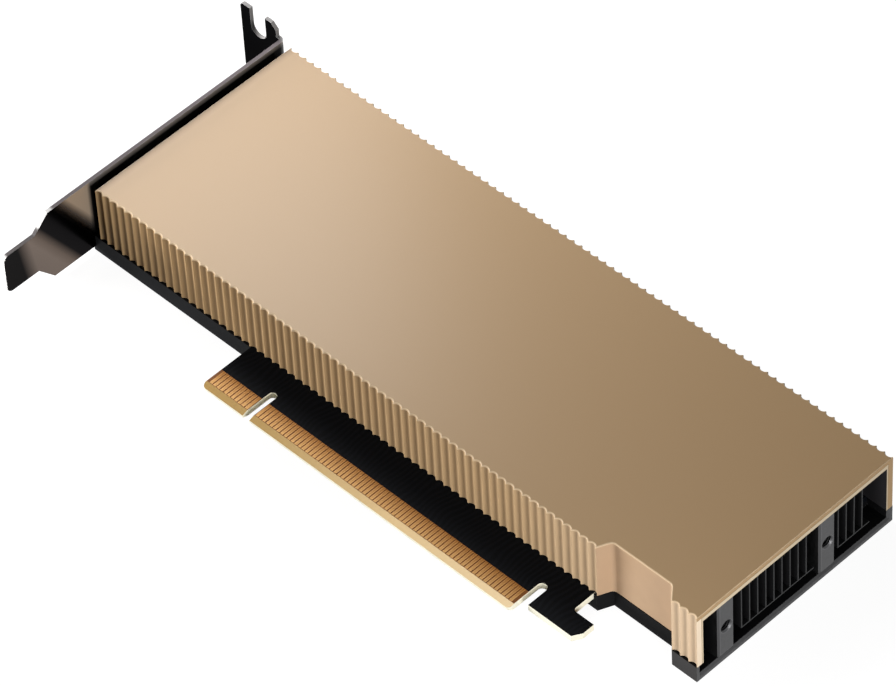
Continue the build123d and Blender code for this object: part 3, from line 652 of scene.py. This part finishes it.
def make_board(finishes):
    """The board with its mask, bare connector band, bevels and cut edges, in that order."""
    mesh = clean_copy("circuit_board")
    for line_y in (MASK_LINE_Y, BEVEL_LINE_Y):
        part_faces(mesh, (0, line_y * MM, 0), (0, 1, 0))
    piece = add_piece("board_body", mesh, finishes)
    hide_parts("circuit_board")
    for face in piece.data.polygons:
        y = face.center.y / MM
        if abs(face.normal.z) < ACROSS:
            face.material_index = 3 if y < Y0 + RELIEF_DEPTH else 0
        elif y < BEVEL_LINE_Y:
            face.material_index = 2
        elif y < MASK_LINE_Y and face.center.x / MM < TAB_END_X:
            face.material_index = 1
    shade(piece, angle=25)


def bracket_finish(face):
    """0 on the body's inner face with its painted reflections, 1 on the other broad faces, 2 on
    cut edges.
    """
    on_tab = face.center.x / MM < BRACKET_BODY_X
    if not on_tab and face.normal.x > BROAD:
        return 0
    broad = face.normal.y if on_tab else face.normal.x
    return 1 if abs(broad) > BROAD else 2


def tray_finish(face):
    """1 on the tray's far end, lighter as painted light, 2 on its front side, 0 elsewhere."""
    if face.normal.x > TURNED and face.center.x / MM > X1 - END_ZONE:
        return 1
    return 2 if face.normal.y < -TURNED and face.center.y / MM < Y0 + RELIEF_DEPTH else 0


def post_finish(face):
    """1 inside the posts' bores, 0 elsewhere."""
    at = face.center / MM
    post_y = min(POST_Y, key=lambda y: abs(at.y - y))
    radius = math.hypot(at.y - post_y, at.z - BORE_Z)
    return 1 if radius < BORE_R + BORE_SKIN and abs(face.normal.x) < ACROSS else 0


def make_threads(mat):
    """Helical thread crests in the two tapped holes of the far end."""
    end_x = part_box("end_posts")[1].x / MM
    points, faces = [], []
    turns = int(THREAD_L / THREAD_PITCH)
    for y in POST_Y:
        base = len(points)
        for k in range(turns * THREAD_STEPS + 1):
            turn = 2 * math.pi * k / THREAD_STEPS
            x = end_x - THREAD_START - THREAD_PITCH * k / THREAD_STEPS
            for dx, radius in ((THREAD_HALF, BORE_R + THREAD_SUNK), (0, BORE_R - THREAD_CREST),
                               (-THREAD_HALF, BORE_R + THREAD_SUNK)):
                points.append((x + dx, y + radius * math.cos(turn),
                               BORE_Z + radius * math.sin(turn)))
        for k in range(turns * THREAD_STEPS):
            a = base + 3 * k
            faces += [(a, a + 1, a + 4, a + 3), (a + 1, a + 2, a + 5, a + 4),
                      (a + 2, a, a + 3, a + 5)]
        last = base + 3 * turns * THREAD_STEPS
        faces += [(base, base + 2, base + 1), (last, last + 1, last + 2)]
    work = bmesh.new()
    corners = [work.verts.new(point) for point in points]
    for face in faces:
        work.faces.new([corners[i] for i in face])
    piece = add_piece("post_threads", as_mesh("post_threads", work), [mat])
    shade(piece, angle=50)


def satin_cover(name, colour, rough, coat=0.30):
    """Satin coat on finely blasted metal."""
    return surface(name, colour, rough, coat=coat, coat_rough=0.30, grain=6000,
                   shift=0.015, height=0.0012, rough_shift=0.03, level=0.0)


def tray_black(name):
    """Satin black paint on the tray."""
    return surface(name, srgb(17, 17, 18), 0.55, grain=2500, height=0.003, level=0.03)


def tones(tree, source, stops, reach):
    """Tones that follow a length over its reach; stops are (place in millimetres, colour)."""
    low, high = reach
    along = band(tree, source, 0.0, 1.0, low * MM, high * MM)
    return ramp(tree, along, [((at - low) / (high - low), srgb(*tone)) for at, tone in stops])


def tone_along(mat, axis, stops):
    """Let a finish change tone along an axis; stops are (place in millimetres, colour)."""
    tree = mat.node_tree
    reach = (stops[0][0], stops[-1][0])
    tone = tones(tree, axes_of(tree)[axis], stops, reach)
    tree.links.new(tone, tree.nodes["Principled BSDF"].inputs["Base Color"])
    return mat


def painted_groove_shade(mat):
    """Paint shade into a finish in the channels between the cover's ridges, less towards the far
    end.
    """
    tree = mat.node_tree
    colour = tree.nodes["Principled BSDF"].inputs["Base Color"]
    tone = colour.links[0].from_socket
    along = axes_of(tree)["X"]
    shifted = work_out(tree, "ADD", along, -(X0 + GROOVE_SHADE_SHIFT * PITCH) * MM)
    wave = work_out(tree, "PINGPONG", shifted, PITCH / 2 * MM)
    groove = band(tree, wave, 0.0, 1.0, *(share * PITCH * MM for share in GROOVE_SHADE_FADE))
    # Share of the painted shade along x, larger at the near end
    depth = band(tree, along, *GROOVE_SHADE_SHARE, X0 * MM, X1 * MM)
    share = work_out(tree, "MULTIPLY", groove, depth)
    tree.links.new(blend(tree, share, tone, srgb(*GROOVE_SHADE_TONE)), colour)
    return mat


def reflection_painted_nickel(name):
    """Nickel on the bracket's inner face, toned with painted reflections in soft slanting bands,
    bright to nearly black.
    """
    mat, tree, shader = shader_of(name)
    axes = axes_of(tree)
    lean = work_out(tree, "MULTIPLY_ADD", axes["Y"], REFLECTION_LEAN, axes["Z"])
    tip = work_out(tree, "MULTIPLY_ADD", axes["Z"], TIP_LEAN, axes["Y"])
    past_tip = band(tree, tip, 0.0, 1.0, *(place * MM for place in TIP_FADE))
    in_front = band(tree, axes["Y"], 1.0, 0.0, *(place * MM for place in SHADE_FADE))
    reflection_share = work_out(tree, "MULTIPLY", past_tip, in_front)
    # Painted shade, turning to painted light above the cover's shadow
    shade_and_light = tones(tree, axes["Z"], list(zip(PAINTED_LIGHT_FADE, (PAINTED_DARK_TONE, PAINTED_LIGHT_TONE))), PAINTED_LIGHT_FADE)
    tone = blend(tree, reflection_share, shade_and_light, tones(tree, lean, REFLECTION_BANDS, REFLECTION_REACH))
    tree.links.new(tone, shader.inputs["Base Color"])
    matt = band(tree, lean, 1.0, 0.25, *(place * MM for place in BAND_MATT))
    tree.links.new(matt, shader.inputs["Metallic"])
    shader.inputs["Specular Tint"].default_value = (0.5, 0.5, 0.5, 1)
    grained(tree, shader, grain=3000, rough=(0.14, 0.20), height=0.0008)
    return mat


def contact_plating(name):
    """Gold plating, darker towards each pad's middle and its upper end."""
    mat, tree, shader = shader_of(name)
    axes = axes_of(tree)
    wave = work_out(tree, "PINGPONG", axes["X"], CONTACT_PITCH / 2 * MM)
    across = band(tree, wave, 1.0, 0.0, *(place * MM for place in PAD_EDGE_FADE))
    along = band(tree, axes["Y"], 1.0, 0.0, *(place * MM for place in PAD_END_FADE))
    high_end, low_end = (ramp(tree, across, [(0.0, srgb(*middle)), (1.0, srgb(*edge))])
                         for middle, edge in (PAD_HIGH_TONES, PAD_LOW_TONES))
    tree.links.new(blend(tree, along, high_end, low_end), shader.inputs["Base Color"])
    shader.inputs["Metallic"].default_value = 0.25
    shader.inputs["Specular IOR Level"].default_value = 0.1
    grained(tree, shader, grain=2500, rough=(0.46, 0.54), height=0.001)
    return mat


def mask_black(name):
    """Matt black solder mask over faint buried tracks."""
    mat, tree, shader = shader_of(name)
    wave = tree.nodes.new("ShaderNodeTexWave")
    wave.inputs["Scale"].default_value = 260
    wave.inputs["Distortion"].default_value = 14
    wave.inputs["Detail"].default_value = 1.0
    wave.inputs["Detail Scale"].default_value = 0.35
    tree.links.new(place_of(tree), wave.inputs["Vector"])
    tone = ramp(tree, wave.outputs["Fac"], [(0.3, srgb(9, 11, 14)), (0.8, srgb(15, 17, 21))])
    tree.links.new(tone, shader.inputs["Base Color"])
    tree.links.new(band(tree, noise(tree, 1500), 0.45, 0.55), shader.inputs["Roughness"])
    shader.inputs["Specular IOR Level"].default_value = 0.03
    relief(tree, shader, wave.outputs["Fac"], 0.003)
    return mat


def lamp(name, place, target, size, power):
    """A soft rectangular lamp, its places in metres and its power in watts."""
    data = bpy.data.lights.new(name, "AREA")
    data.shape = "RECTANGLE"
    data.size, data.size_y = size
    data.energy = power
    obj = bpy.data.objects.new(name, data)
    obj.location = place
    way = Vector(target) - Vector(place)
    obj.rotation_euler = way.to_track_quat("-Z", "Y").to_euler()
    bpy.context.scene.collection.objects.link(obj)


def seen_directly(tree):
    """One for rays that should meet a white background, nought for light on the object."""
    path = tree.nodes.new("ShaderNodeLightPath")
    total = path.outputs["Is Camera Ray"]
    for name in ("Is Glossy Ray", "Is Transmission Ray"):
        total = work_out(tree, "MAXIMUM", total, path.outputs[name])
    return total


def set_world():
    """Plain surroundings: a faint light on the object, white where they are seen."""
    world = bpy.data.worlds.new("studio")
    bpy.context.scene.world = world
    world.use_nodes = True
    tree = world.node_tree
    back = tree.nodes["Background"]
    level = band(tree, seen_directly(tree), WORLD_LEVEL, 1.0, 0.0, 1.0)
    back.inputs["Color"].default_value = (1, 1, 1, 1)
    tree.links.new(level, back.inputs["Strength"])


def make_floor():
    """A plain pale floor that keeps a soft shadow, and is clear from below."""
    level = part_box("rear_tray")[0].z - FLOOR_GAP * MM
    mesh = bpy.data.meshes.new("floor")
    corners = ((-1, -1), (1, -1), (1, 1), (-1, 1))
    mesh.from_pydata([(FLOOR_REACH * x, FLOOR_REACH * y, level) for x, y in corners], [],
                     [(0, 1, 2, 3)])
    mat, tree, shader = shader_of("floor_white")
    shader.inputs["Base Color"].default_value = (FLOOR_GREY, FLOOR_GREY, FLOOR_GREY, 1)
    shader.inputs["Roughness"].default_value = 0.9
    shader.inputs["Specular IOR Level"].default_value = 0.0
    shader.inputs["Emission Color"].default_value = (1, 1, 1, 1)
    glow = band(tree, seen_directly(tree), 0.0, FLOOR_GLOW, 0.0, 1.0)
    tree.links.new(glow, shader.inputs["Emission Strength"])
    geometry = tree.nodes.new("ShaderNodeNewGeometry")
    clear = tree.nodes.new("ShaderNodeBsdfTransparent")
    mix = tree.nodes.new("ShaderNodeMixShader")
    tree.links.new(geometry.outputs["Backfacing"], mix.inputs[0])
    tree.links.new(shader.outputs["BSDF"], mix.inputs[1])
    tree.links.new(clear.outputs["BSDF"], mix.inputs[2])
    tree.links.new(mix.outputs["Shader"], tree.nodes["Material Output"].inputs["Surface"])
    mesh.materials.append(mat)
    floor = bpy.data.objects.new("floor", mesh)
    bpy.context.scene.collection.objects.link(floor)


def make_camera():
    """The camera of the photograph."""
    data = bpy.data.cameras.new("camera")
    data.sensor_fit = "HORIZONTAL"
    data.sensor_width = SENSOR_MM
    data.lens = LENS_MM
    data.clip_start, data.clip_end = CLIP
    camera = bpy.data.objects.new("camera", data)
    forward = Vector(CAMERA_FORWARD).normalized()
    right = forward.cross(Vector(CAMERA_UP)).normalized()
    up = right.cross(forward)
    turn = Matrix((right, up, -forward)).transposed().to_4x4()
    camera.matrix_world = Matrix.Translation(CAMERA_PLACE) @ turn
    bpy.context.scene.collection.objects.link(camera)
    bpy.context.scene.camera = camera


# Finishes
# The roof's finish, with painted shade at its near end.
gold = tone_along(satin_cover("satin_champagne", srgb(178, 147, 108), 0.34), "X", ROOF_TONES_WITH_END_SHADE)
gold_band = satin_cover("satin_champagne_band", srgb(214, 196, 166), 0.40)
# The sides' finish, paler towards the far end as painted light, with painted shade in the
# channels.
gold_side = satin_cover("satin_champagne_side", srgb(178, 148, 110), 0.34, coat=0.10)
gold_side = painted_groove_shade(tone_along(gold_side, "X", SIDE_TONES_WITH_PAINTED_LIGHT))
# The front wall's end face is lighter than the band beside it: a painted highlight.
gold_end_highlight = satin_cover("satin_champagne_end_highlight", srgb(238, 217, 190), 0.40)
gold_relief = satin_cover("satin_champagne_relief", srgb(178, 149, 120), 0.34)
# Lighter rim roundings at the top and the foot: painted highlights.
gold_rim_highlight = satin_cover("satin_champagne_rim_highlight", srgb(206, 180, 146), 0.34)
# Dark finish on the cover's inner faces.
inside_dark = surface("cover_inside_dark", srgb(44, 43, 45), 0.35, grain=2500, level=0.3)
tray_paint = tray_black("tray_paint")
tray_front = tone_along(tray_black("tray_front"), "X", TRAY_SHEEN_TONES)
# The tray's far end face is a lighter grey than its paint: painted light.
tray_end_lit = surface("tray_end_lit", srgb(74, 74, 75), 0.5, grain=2500, height=0.003, level=0.1)
# Grey on the tray's rounded edges: painted highlights.
tray_edge_highlight = surface("tray_edge_highlight", srgb(84, 84, 86), 0.40, grain=2500, level=0.3)
nickel = reflection_painted_nickel("nickel_painted_reflections")
nickel_dark = surface("nickel_dark", srgb(14, 14, 15), 0.35, shift=0.15, level=0.0)
# Grey on the bracket's cut edges, with painted glints along y.
nickel_cut = surface("nickel_cut_edge", srgb(100, 95, 96), 0.6, level=0.02)
nickel_cut = tone_along(nickel_cut, "Y", CUT_TONES_AND_GLINTS)
# Light roundings of the bracket's edges: painted highlights, brightest at the glints.
nickel_rim_highlight = surface("nickel_rim_highlight", srgb(205, 203, 200), 0.3, level=0.25)
nickel_rim_highlight = tone_along(nickel_rim_highlight, "Y", RIM_GLINT_TONES)
mask = mask_black("solder_mask")
contact_metal = contact_plating("contact_plating")
gap_brown = surface("connector_gap", srgb(124, 76, 32), 0.5, grain=2000, shift=0.15, level=0.1)
bevel_cream = surface("bevel_laminate", srgb(222, 192, 142), 0.6, grain=4000, level=0.2)
bevel_cream = tone_along(bevel_cream, "X", BEVEL_TONES)
edge_cream = surface("edge_laminate", srgb(238, 234, 214), 0.6, grain=4000, shift=0.08,
                     stretch=(0.2, 0.2, 6), level=0.2)
post_metal = surface("post_metal", srgb(74, 74, 75), 0.42, metallic=1.0)
# Near black, standing in for the shade deep in the posts' bores and threads; the bracket posts
# are this black too.
black_and_bore_shade = surface("black_and_bore_shade", srgb(12, 12, 13), 0.5, level=0.1)
# Lighter metal on the posts' rounded edges: painted highlights.
post_rim_highlight = surface("post_rim_highlight", srgb(104, 104, 106), 0.35, metallic=1.0, shift=0.05)
screw_dark = surface("screw_dark", srgb(40, 40, 42), 0.32, metallic=0.8, shift=0.08)
screw_bright = surface("screw_bright", srgb(176, 176, 180), 0.25, metallic=1.0, shift=0.05)
fin_dark = surface("fin_dark", srgb(24, 24, 25), 0.45, metallic=0.3, grain=1200, shift=0.12,
                   level=0.2)
finishes = {
    "substrate_green": surface("substrate_green", srgb(38, 74, 52), 0.45, grain=2500),
    "silicon": surface("silicon", srgb(92, 96, 104), 0.12, metallic=0.6, shift=0.04),
    "paste_grey": surface("paste_grey", srgb(150, 150, 148), 0.7, height=0.02),
    "pad_grey": surface("pad_grey", srgb(150, 156, 164), 0.85, height=0.02),
    "chip_black": surface("chip_black", srgb(30, 30, 32), 0.6, height=0.004),
    "coil_grey": surface("coil_grey", srgb(72, 72, 74), 0.7, height=0.01),
    "capacitor_tan": surface("capacitor_tan", srgb(150, 122, 88), 0.45, height=0.004),
    "film_black": surface("film_black", srgb(20, 20, 22), 0.25, height=0.006),
    "end_metal": surface("end_metal", srgb(170, 170, 172), 0.35, metallic=1.0),
    "champagne_metal": gold,
    "tray_black": tray_paint,
    "board_black": mask,
    "contact_gold": contact_metal,
    "bracket_nickel": nickel,
    "post_steel": post_metal,
    "screw_black": screw_dark,
    "screw_steel": screw_bright,
    "fin_metal": fin_dark,
}

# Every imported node's finish, by its material slot
node_slots = {part["node"]: part["material_slot"] for part in frame["record"]["subparts"]}
for node, packed in frame["nodes"].items():
    packed.data.materials.clear()
    packed.data.materials.append(finishes[node_slots[node]])

# Pieces
make_cover([gold, gold_band, inside_dark, gold_side, gold_rim_highlight, gold_end_highlight, gold_relief])
dressed("rear_tray", "tray_shell", [tray_paint, tray_end_lit, tray_front, tray_edge_highlight],
        TRAY_EDGE, tray_finish)
make_board([mask, gap_brown, bevel_cream, edge_cream])
dressed("bracket", "bracket_sheet", [nickel, nickel_dark, nickel_cut, nickel_rim_highlight],
        BRACKET_EDGE, bracket_finish)
dressed("end_posts", "end_post_blocks", [post_metal, black_and_bore_shade, post_rim_highlight],
        POST_EDGE, post_finish)
dressed("bracket_posts", "bracket_post_blocks", [black_and_bore_shade], POST_EDGE)
for node in ("post_screws", "cover_screws", "bracket_screws"):
    dressed(node, node[:-1] + "_set", [screw_dark], SCREW_EDGE)
dressed("heatsink_screws", "heatsink_screw_set", [screw_bright], SCREW_EDGE)
make_threads(black_and_bore_shade)

# Studio
make_camera()
set_world()
make_floor()
for lamp_name, setting in LAMPS.items():
    lamp(lamp_name, *setting)

bpy.context.scene.view_settings.view_transform = "Standard"
